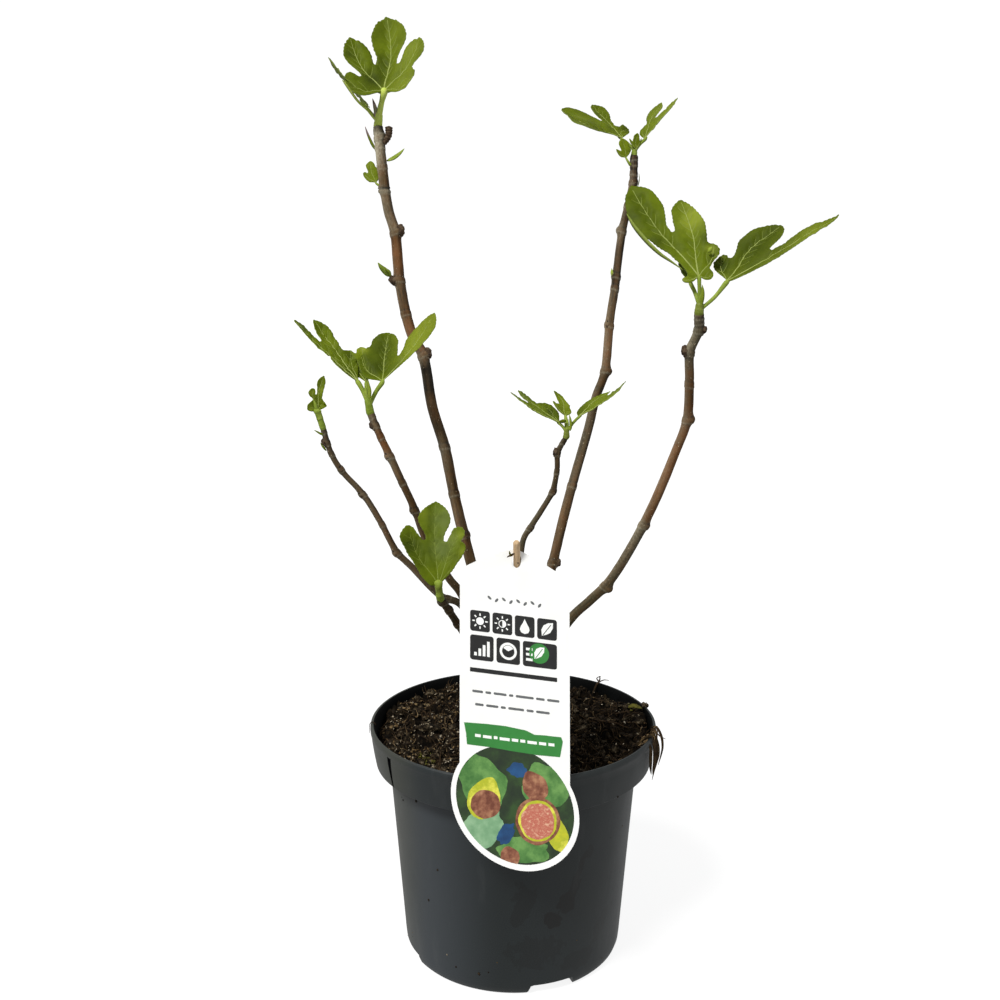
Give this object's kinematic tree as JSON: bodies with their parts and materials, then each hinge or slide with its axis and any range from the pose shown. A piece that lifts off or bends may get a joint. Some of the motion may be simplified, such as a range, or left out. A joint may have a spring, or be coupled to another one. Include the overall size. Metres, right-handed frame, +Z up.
{
  "type": "young fig tree in a nursery pot",
  "caption": "Young several-stemmed fig tree in early leaf: bare ringed boughs from a short trunk, lobed leaves at their tips, in a round collared nursery pot with a hanging label.",
  "frame": {"origin": "middle of the flat underside of the pot, at ground level", "axes": "+Z up along the pot's axis; the label hangs on the -Y side, which is the front; +X is to the right seen from the front"},
  "size_m": [0.3738, 0.2647, 0.7297],
  "materials": {
    "pot": "moulded anthracite polypropylene, slightly glossy, with dust and damp patches",
    "soil": "moist dark peat and bark fibre",
    "bark": "young brown to olive bark, ringed at the leaf scars and dotted with pale pores",
    "dry_wood": "dry tan wood, a little weathered",
    "foliage": "fresh green leaf, satin, with paler raised veins",
    "label": "white printed plastic card, satin"
  },
  "bodies": {
    "root": {"pot": "pot", "soil": "soil", "trunk": "bark", "leader_stub": "dry_wood", "bough_tall_left": "bark", "bough_mid_left": "bark", "bough_far_left": "bark", "shoot_low_left": "bark", "bough_middle": "bark", "bough_tall_right": "bark", "bough_right_lower": "bark", "bough_right_upper": "bark", "foliage_tall_left": "foliage", "foliage_far_left": "foliage", "foliage_mid_left": "foliage", "foliage_low_left": "foliage", "foliage_middle": "foliage", "foliage_tall_right": "foliage", "foliage_right_inner": "foliage", "foliage_right_outer": "foliage", "plant_label": "label"}
  },
  "joints": []
}
